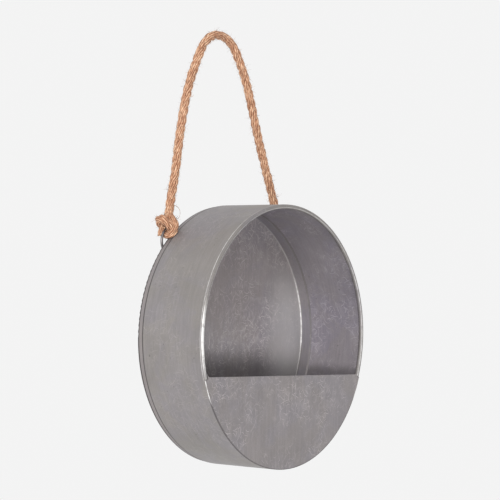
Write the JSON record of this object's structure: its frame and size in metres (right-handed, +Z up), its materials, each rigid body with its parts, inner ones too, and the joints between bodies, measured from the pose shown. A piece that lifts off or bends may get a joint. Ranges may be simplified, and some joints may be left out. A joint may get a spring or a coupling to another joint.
{
  "type": "wall planter",
  "caption": "Round galvanised wall planter: a shallow drum with a plate across the lower front to hold soil or a pot, hung by a knotted jute rope from rings behind its back.",
  "frame": {"origin": "centre of the back pan's rear face", "axes": "+X to the right seen from the front, +Y to the back, +Z up; the open front faces -Y"},
  "size_m": [0.3, 0.108, 0.5029],
  "materials": {
    "zinc_side": "aged matt galvanised sheet",
    "zinc_back": "aged matt galvanised sheet, scratched",
    "zinc_front": "aged matt galvanised sheet, hair scratches",
    "steel_wire": "dull galvanised wire",
    "solder": "bright worn solder",
    "jute": "laid natural jute"
  },
  "bodies": {
    "planter": {"side_band": "zinc_side", "rim_wire": "steel_wire", "back_pan": "zinc_back", "front_plate": "zinc_front", "plate_solder": "solder", "pan_solder": "solder", "left_strap": "zinc_back", "right_strap": "zinc_back"},
    "hanger": {"left_ring": "steel_wire", "right_ring": "steel_wire", "left_knot": "jute", "right_knot": "jute", "rope": "jute"}
  },
  "joints": [
    {"name": "hanger_swing", "type": "hinge", "parent": "planter", "child": "hanger", "pos_m": [0, 0.00295, 0.08779], "axis": [-1, 0, 0], "range_deg": [0, 150]}
  ]
}
